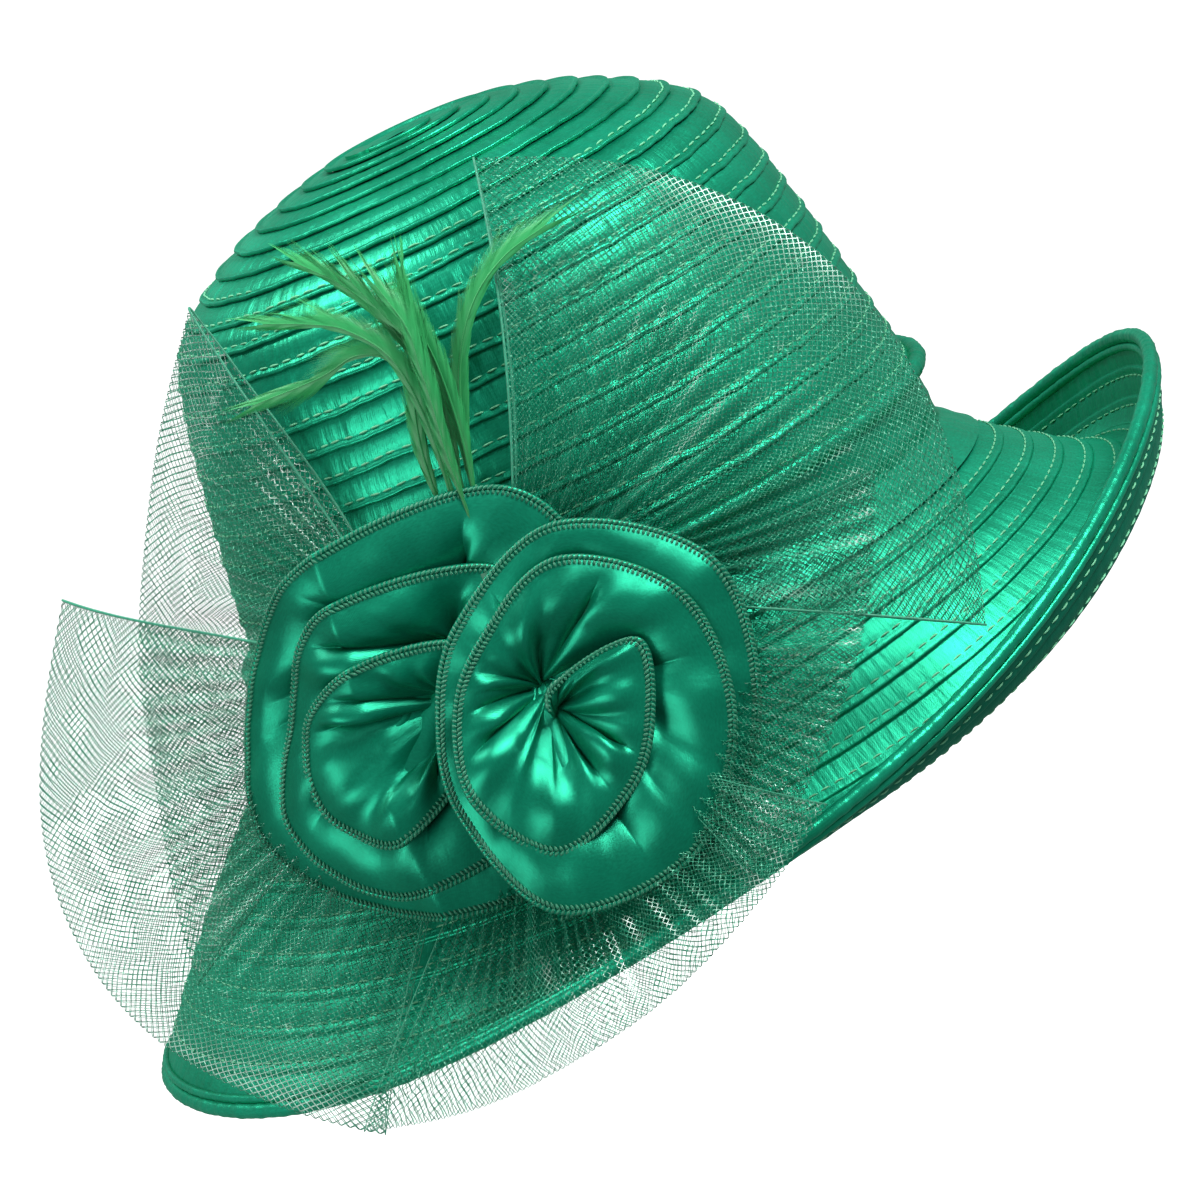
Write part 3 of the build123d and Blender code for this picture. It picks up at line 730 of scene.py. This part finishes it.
    verts, quads = [], []
    for low, high, shift, lift in ((-0.25, 1.15, 0.85, 0.62), (2.45, 1.05, 0.85, 0.42)):
        a = take(edge, k) + take(inward, k) * low + take(normal, k) * (lift - 0.15)
        b = take(edge, k + shift) + take(inward, k + shift) * high + take(normal, k + shift) * lift
        first = sum(len(x) for x in verts)
        v, q = strand_arrays(a, b, take(normal, k), 0.36, 0.30, sides=5, steps=4, first=first)
        verts.append(v)
        quads.append(q)
    give(make_mesh(name + "_serging", np.vstack(verts), np.vstack(quads)), serge_thread)


ROSE_TILT = 9.5
REAR_RADII = [
    48, 49, 49, 54.5, 48, 34, 29, 33, 46, 46, 43, 43.5, 39.5, 27, 25, 28.5, 32, 24.5, 23, 28, 10, 4,
]
FRONT_RADII = [
    30, 38, 57, 51, 44.5, 48, 44, 46, 34, 32, 39, 39, 32.5,
    39, 39, 32, 20, 18, 22, 23.5, 26.5, 27.5, 25, 12, 5,
]
rose("rose_rear", (20.2, -7.3, 9.0), 2.0, -90, REAR_RADII, (-7.4, -9.0),
     [(-4.5, 11), (-4.5, 12), (-3, 8), (0, 0)], ("rose_rear_ribbon",), 200)
rose("rose_front", (-17.1, 0.0, 9.0), -38.0, 0, FRONT_RADII, (5.5, -8.5),
     [(-5, 20), (-5, 24), (-3, 12), (0, 0)], ("rose_front_ribbon",), 300,
     wide=1.18, press=0.75, press_from=-4.0)

# ------------------------------------------------------------------ net loops
NET_WIDTH = 150.0
NET_ROOT_WIDTH, NET_ROOT_RADIUS = 15.0, 25.0
NET_PUFF = 4.8     # how far each layer stands off the loop's middle surface
# The spoke's angle on the pad, the level it is sewn down at, the two ends of the far fold, how far the
# tape stands out near the pad and near the fold, and how far the fold bows past its chord.
NET_LOOPS = {
    "net_upper_rear": (40, 1.6, (75, 14, 122), (121, 76, -30), 14, 10, 40),
    "net_lower_rear": (-16, 3.6, (110, 68, 14), (150, -2, -55), -14, 8, 10),
    "net_lower": (-83, 1.6, (152, 22, -46), (120, -114, -76), -4, 3, 18),
    "net_lower_front": (-168, 3.8, (112, -110, -81), (62, -126, 66), -18, 3, 42),
    "net_upper_front": (152.5, 1.6, (46, -140, -40), (56, -66, 117), -6, 0, 15),
}


def net_surface(angle, seat, upper_end, lower_end, near, far, bow, u, v):
    """Points of the tape's middle surface: u across it, v from the pad to the far fold."""
    spoke = np.array([cosd(angle), sind(angle)])
    left = np.array([-spoke[1], spoke[0]])
    roots = [spoke * NET_ROOT_RADIUS + left * s * NET_ROOT_WIDTH / 2 for s in (1, -1)]
    ends = [np.array(upper_end, float), np.array(lower_end, float)]
    middle = (ends[0] + ends[1]) / 2
    outward = unit(np.array([middle[0], middle[1], 0.0]))
    away = unit(middle - pad_middle)
    rows = []
    for part, out in ((0, 0), (1 / 3, near), (2 / 3, far), (1, 0)):
        edge = []
        for root, end in zip(roots, ends):
            start = on_pad(root[0], root[1], seat)
            edge.append(start + (end - start) * part + outward * out)
        rows.append([edge[0], (edge[0] + edge[1]) / 2 + away * (bow * 2 * part), edge[1]])
    rows = np.array(rows)
    bv = [(1 - v) ** 3, 3 * v * (1 - v) ** 2, 3 * v**2 * (1 - v), v**3]
    bu = [(1 - u) ** 2, 2 * u * (1 - u), u**2]
    total = 0
    for i in range(4):
        for j in range(3):
            total = total + (bv[i] * bu[j])[..., None] * rows[i, j]
    return total


PLEATS = 22        # across the tape where it is gathered
PLEAT_SHARE = 0.85
# Loops whose end selvedge lies under a neighbour: only a fine edge shows there.
TUCKED = {"net_lower_rear": "b", "net_lower": "ab", "net_lower_front": "a"}


def net_loop(name, loop, seed):
    """Doubled tape: q runs out from the pad to the fold at 1, and back to the pad at 2."""
    nu, nq = ((300, 300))
    u = np.linspace(0, 1, nu)[:, None]
    q = np.linspace(0, 2, nq)[None, :]
    v = 1 - (1 - q) ** 2
    u, v = np.broadcast_arrays(u, v)
    base = net_surface(*loop, u, v)
    eps = 1e-3
    du = net_surface(*loop, np.clip(u + eps, 0, 1), v) - net_surface(*loop, np.clip(u - eps, 0, 1), v)
    dv = net_surface(*loop, u, np.clip(v + eps, 0, 1)) - net_surface(*loop, u, np.clip(v - eps, 0, 1))
    normal = unit(np.cross(dv, du))
    middle = base[nu // 2, nq // 4]
    if np.dot(normal[nu // 2, nq // 4], np.array([middle[0], middle[1], 0])) < 0:
        normal = -normal
    side = np.where(q < 1, 1.0, -1.0) * np.sqrt(np.clip(1 - v, 0, 1)) * (0.25 + 0.75 * smoothstep(0, 0.5, v))
    puff = NET_PUFF * side
    # The tape is equally wide everywhere, so where it is drawn in, the rest of its width goes into pleats.
    across = np.linalg.norm(np.diff(base, axis=0), axis=2).sum(axis=0)[None, :]
    slack = np.sqrt(np.maximum((NET_WIDTH / np.minimum(across, NET_WIDTH)) ** 2 - 1, 0))
    depth = PLEAT_SHARE * across / (4 * PLEATS) * slack * smoothstep(0, 0.03, v)
    wander = ripple(u * NET_WIDTH, [(61, 0.5), (37, 0.4)], seed) * 0.035
    pleat = depth * np.sin(2 * np.pi * PLEATS * (u + wander))
    pleat = pleat + ripple(u * NET_WIDTH + 20 * v, [(97, 0.9), (53, 0.5)], seed + 1) * smoothstep(0.2, 0.9, v)
    points = base + normal * (puff + pleat)[..., None]
    front = np.linalg.norm(np.diff(base[nu // 2], axis=0), axis=1)
    run = np.concatenate([[0], np.cumsum(front)])
    uv = np.stack([u * NET_WIDTH, np.broadcast_to(run[None, :], u.shape)], -1)
    ob = give(grid(name + "_tape", points, uv), net_mesh, nodes=(name,))
    for label, row in (("a", 0), ("b", nu - 1)):
        thick = 0.12 if label in TUCKED.get(name, "") else 0.32
        cord = tube(f"{name}_cord_{label}", points[row], thick, 6)
        give(cord, net_cord)


for number, (name, loop) in enumerate(NET_LOOPS.items()):
    net_loop(name, loop, 400 + 10 * number)

# ------------------------------------------------------------------ feathers
WRAP_SEAT = (11.0, 14.0, 8.4)
QUILL_ANGLES = [300, 240, None, 0, 180, 120, 60]
QUILL_OFFSET = 2.08
WRAP_LENGTH = 9.0
FEATHER_PATHS = [
    [(13.3, 37.7, 6.0), (17.1, 56.3, 5.4), (22.7, 72.6, 4.6), (31.8, 85.3, 4), (43.0, 92.5, 3),
     (55.6, 95.6, 2)],
    [(9.0, 37.4, 7.0), (10.5, 60.6, 7.2), (8.3, 78.0, 7.8), (0.1, 83.9, 8), (-11.6, 82.6, 8),
     (-31.0, 82.9, 7)],
    [(11.6, 37.6, 8.1), (14.9, 58.4, 8.6), (14.8, 75.4, 9.4), (10.4, 89.8, 9.8), (3.2, 101.7, 9.8),
     (-6.2, 111.1, 8.5)],
    [(14.6, 37.7, 9.3), (18.2, 56.1, 10.3), (19.5, 73.1, 11), (18.8, 85.2, 11.4), (18.9, 92.6, 11.4),
     (19.9, 99.6, 10.8)],
    [(6.2, 37.9, 9.4), (7.2, 53.0, 11.3), (9.9, 65.2, 12.2), (15.6, 80.1, 12.6), (12.2, 89.7, 12.8),
     (7.1, 100.6, 12)],
    [(9.6, 37.5, 10.6), (12.1, 60.7, 12.6), (10.4, 78.8, 13.9), (2.3, 90.1, 14.2), (-6.8, 95.4, 14.2),
     (-18.2, 99.9, 13)],
    [(13.0, 37.3, 12.0), (14.6, 53.2, 14.5), (16.4, 65.5, 15.7), (17.3, 75.3, 16.3), (17.8, 85.0, 16.3),
     (14.0, 97.4, 15.3)],
]


def feather_material(name, low, high):
    """Dyed hackle: darker at the quill, paler and clearer green towards the tips. v runs 0 to 1."""
    mat, tree, bsdf = new_material(name)
    uv, _, v = uv_parts(tree)
    streak = noise(tree, mapped(tree, uv, (40, 3, 1)), 1.0, 3)
    level = maths(tree, "MULTIPLY_ADD", streak, 0.35, maths(tree, "MULTIPLY", v, 0.75), clamp=True)
    tip = tuple(min(1, c * 1.7 + 0.04) for c in high)
    tree.links.new(ramp(tree, level, [(0.15, low), (0.6, high), (1.0, tip)]), bsdf.inputs["Base Color"])
    bsdf.inputs["Roughness"].default_value = 0.5
    bsdf.inputs["Sheen Weight"].default_value = 0.5
    bsdf.inputs["Sheen Tint"].default_value = (0.4, 1, 0.5, 1)
    bump(tree, bsdf, streak, 0.3, 0.0002)
    return mat


hackle = feather_material("hackle", (0.0006, 0.09, 0.018), (0.003, 0.27, 0.065))


def feather(number, quill_angle, path):
    """Hackle: a shaft with a row of narrow barbs along each side, in clumps."""
    off = (0, 0)
    if quill_angle is not None:
        off = (QUILL_OFFSET * cosd(quill_angle), QUILL_OFFSET * sind(quill_angle))
    foot = (WRAP_SEAT[0] + off[0], WRAP_SEAT[1], WRAP_SEAT[2] + off[1])
    neck = (foot[0], WRAP_SEAT[1] + WRAP_LENGTH + 3, foot[2])
    points = np.array([on_pad(*p) for p in [foot, neck, *path]])
    line = smooth_path(points, 160)
    length = np.concatenate([[0], np.cumsum(np.linalg.norm(np.diff(line, axis=0), axis=1))])
    tangent = unit(np.gradient(line, axis=0))
    side = unit(np.cross(pad_n, tangent))
    up = np.cross(tangent, side)
    r = np.random.default_rng(500 + number)
    share_along = length / length[-1]
    shaft_radius = 0.62 * (1 - 0.85 * share_along)
    verts, quads, uvs = [], [], []
    tp = tube_points(line, shaft_radius, 6, up=pad_n)
    n, m = tp.shape[:2]
    i, j = np.meshgrid(np.arange(n - 1), np.arange(m), indexing="ij")
    corners = [(i, j), (i + 1, j), (i + 1, (j + 1) % m), (i, (j + 1) % m)]
    quads.append(np.stack([a * m + b for a, b in corners], -1).reshape(-1, 4))
    uvs.append(np.stack([np.stack([0 * a + 0.1, a / n * 0.6], -1) for a, b in corners], -2).reshape(-1, 2))
    verts.append(tp.reshape(-1, 3))
    count = n * m
    half = 6.0 + 1.6 * r.uniform()
    barbs = 460
    at = np.linspace(0.30, 0.995, barbs)
    for sign in (1, -1):
        clump = ripple(at * 100, [(17, 0.35), (7.3, 0.25), (3.1, 0.15)], 600 + number * 2 + (sign > 0))
        slope = np.radians(30 - 17 * at + 6 * clump)
        size = half * np.interp(at, [0.30, 0.40, 0.60, 0.80, 0.93, 1.0], [0.15, 0.8, 1.0, 0.95, 0.75, 0.5])
        size = size * (1 + 0.25 * np.abs(clump) + r.uniform(-0.08, 0.08, barbs))
        size = size / np.sin(np.maximum(slope, 0.2)) * 0.62
        pos, tan, sid, upw = (
            np.stack([np.interp(at, share_along, a[:, c]) for c in range(3)], 1)
            for a in (line, tangent, side, up)
        )
        steps = 5
        pts = []
        for k in range(steps):
            f = k / (steps - 1)
            bend = slope * (1 - 0.45 * f)
            reach = size * f
            lift = -0.10 * reach * f + 0.25 * np.sin(at * 90 + sign) * f
            sideways = (sign * np.sin(bend) * reach)[:, None]
            pts.append(pos + tan * (np.cos(bend) * reach)[:, None] + sid * sideways + upw * lift[:, None])
        pts = np.stack(pts, 1)
        width = 0.30 * (1 - 0.75 * np.linspace(0, 1, steps) ** 2)[None, :, None]
        a, b = pts - tan[:, None] * width, pts + tan[:, None] * width
        strip = np.stack([a, b], 2)
        base = count + (np.arange(barbs) * steps * 2)[:, None] + (np.arange(steps - 1) * 2)[None, :]
        quads.append(np.stack([base, base + 1, base + 3, base + 2], -1).reshape(-1, 4))
        f0, f1 = np.arange(steps - 1) / (steps - 1), (np.arange(steps - 1) + 1) / (steps - 1)
        vv = at[:, None] * 0.65
        c0, c1 = vv + 0.35 * f0[None, :], vv + 0.35 * f1[None, :]
        uu = np.broadcast_to(r.uniform(0, 1, barbs)[:, None], c0.shape)
        uvs.append(np.stack([np.stack([uu, c], -1) for c in (c0, c0, c1, c1)], -2).reshape(-1, 2))
        verts.append(strip.reshape(-1, 3))
        count += barbs * steps * 2
    ob = make_mesh(f"hackle_{number}", np.vstack(verts), np.vstack(quads), np.vstack(uvs))
    give(ob, hackle, body="feather_spray", nodes=(f"feather_{number}",))


for number, (quill_angle, path) in enumerate(zip(QUILL_ANGLES, FEATHER_PATHS), start=1):
    feather(number, quill_angle, path)

# ------------------------------------------------------------------ pieces kept from the CAD
for name, mat in {
    "sweatband": grosgrain, "trim_pad": buckram, "rose_rear_backing": buckram, "rose_front_backing": buckram,
    "brim_wire": wire_thread, "rouleau_cord": cord_cotton, "feather_wrap": serge_thread,
    "tip_tuck": crown_satin,
}.items():
    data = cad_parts[name].data
    data.materials.clear()
    data.materials.append(mat)

# ------------------------------------------------------------------ floor, light, camera
low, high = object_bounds()
floor_z = float(low[2]) - FLOOR_DROP
bpy.ops.mesh.primitive_circle_add(vertices=64, radius=60, fill_type="NGON", location=(0, 0, floor_z))
floor = bpy.context.object
floor.name = "floor"
floor_mat, _, floor_bsdf = new_material("floor_paper")
floor_bsdf.inputs["Base Color"].default_value = (0.93, 0.93, 0.93, 1)
floor_bsdf.inputs["Roughness"].default_value = 0.9
floor_bsdf.inputs["Emission Color"].default_value = (1, 1, 1, 1)
floor_bsdf.inputs["Emission Strength"].default_value = 0.82
floor.data.materials.append(floor_mat)
# The glowing floor is kept out of the satin's reflections, which it would cloud.
floor.visible_diffuse = False
floor.visible_glossy = False

world = bpy.data.worlds.new("studio")
bpy.context.scene.world = world
world.use_nodes = True
world.node_tree.nodes["Background"].inputs[0].default_value = (1, 1, 1, 1)
world.node_tree.nodes["Background"].inputs[1].default_value = 0.33


def area_light(name, place, aim, size, power):
    data = bpy.data.lights.new(name, "AREA")
    data.energy = power
    data.shape = "RECTANGLE"
    data.size = size
    data.size_y = size
    ob = bpy.data.objects.new(name, data)
    ob.location = place
    ob.rotation_euler = (Vector(aim) - Vector(place)).to_track_quat("-Z", "Y").to_euler()
    bpy.context.collection.objects.link(ob)


area_light("key", (0.65, 0.85, 1.0), (0, 0, 0.03), 0.55, 29)
area_light("fill", (1.0, -1.1, 0.2), (0, 0, 0), 0.6, 10)
area_light("back", (-0.2, -0.5, 1.2), (0, 0, 0.05), 0.5, 12)

CAMERA_DISTANCE, CAMERA_RISE, CAMERA_ROLL = 1.8, 8.5, 26.0
target = Vector((0, 0, 0.05))
aim = Vector((0, -0.0059, -0.0047))
eye = target + Vector((cosd(CAMERA_RISE), 0, sind(CAMERA_RISE))) * CAMERA_DISTANCE
camera_data = bpy.data.cameras.new("camera")
camera = bpy.data.objects.new("camera", camera_data)
bpy.context.collection.objects.link(camera)
camera_data.sensor_width = 36
camera_data.lens = 209.5
camera_data.clip_end = 200
look = (aim - eye).to_track_quat("-Z", "Y").to_matrix().to_4x4()
camera.matrix_world = Matrix.Translation(eye) @ look @ Matrix.Rotation(math.radians(-CAMERA_ROLL), 4, "Z")
bpy.context.scene.camera = camera

scene = bpy.context.scene
scene.view_settings.view_transform = "Standard"
scene.cycles.transparent_max_bounces = 24
scene.cycles.max_bounces = 6
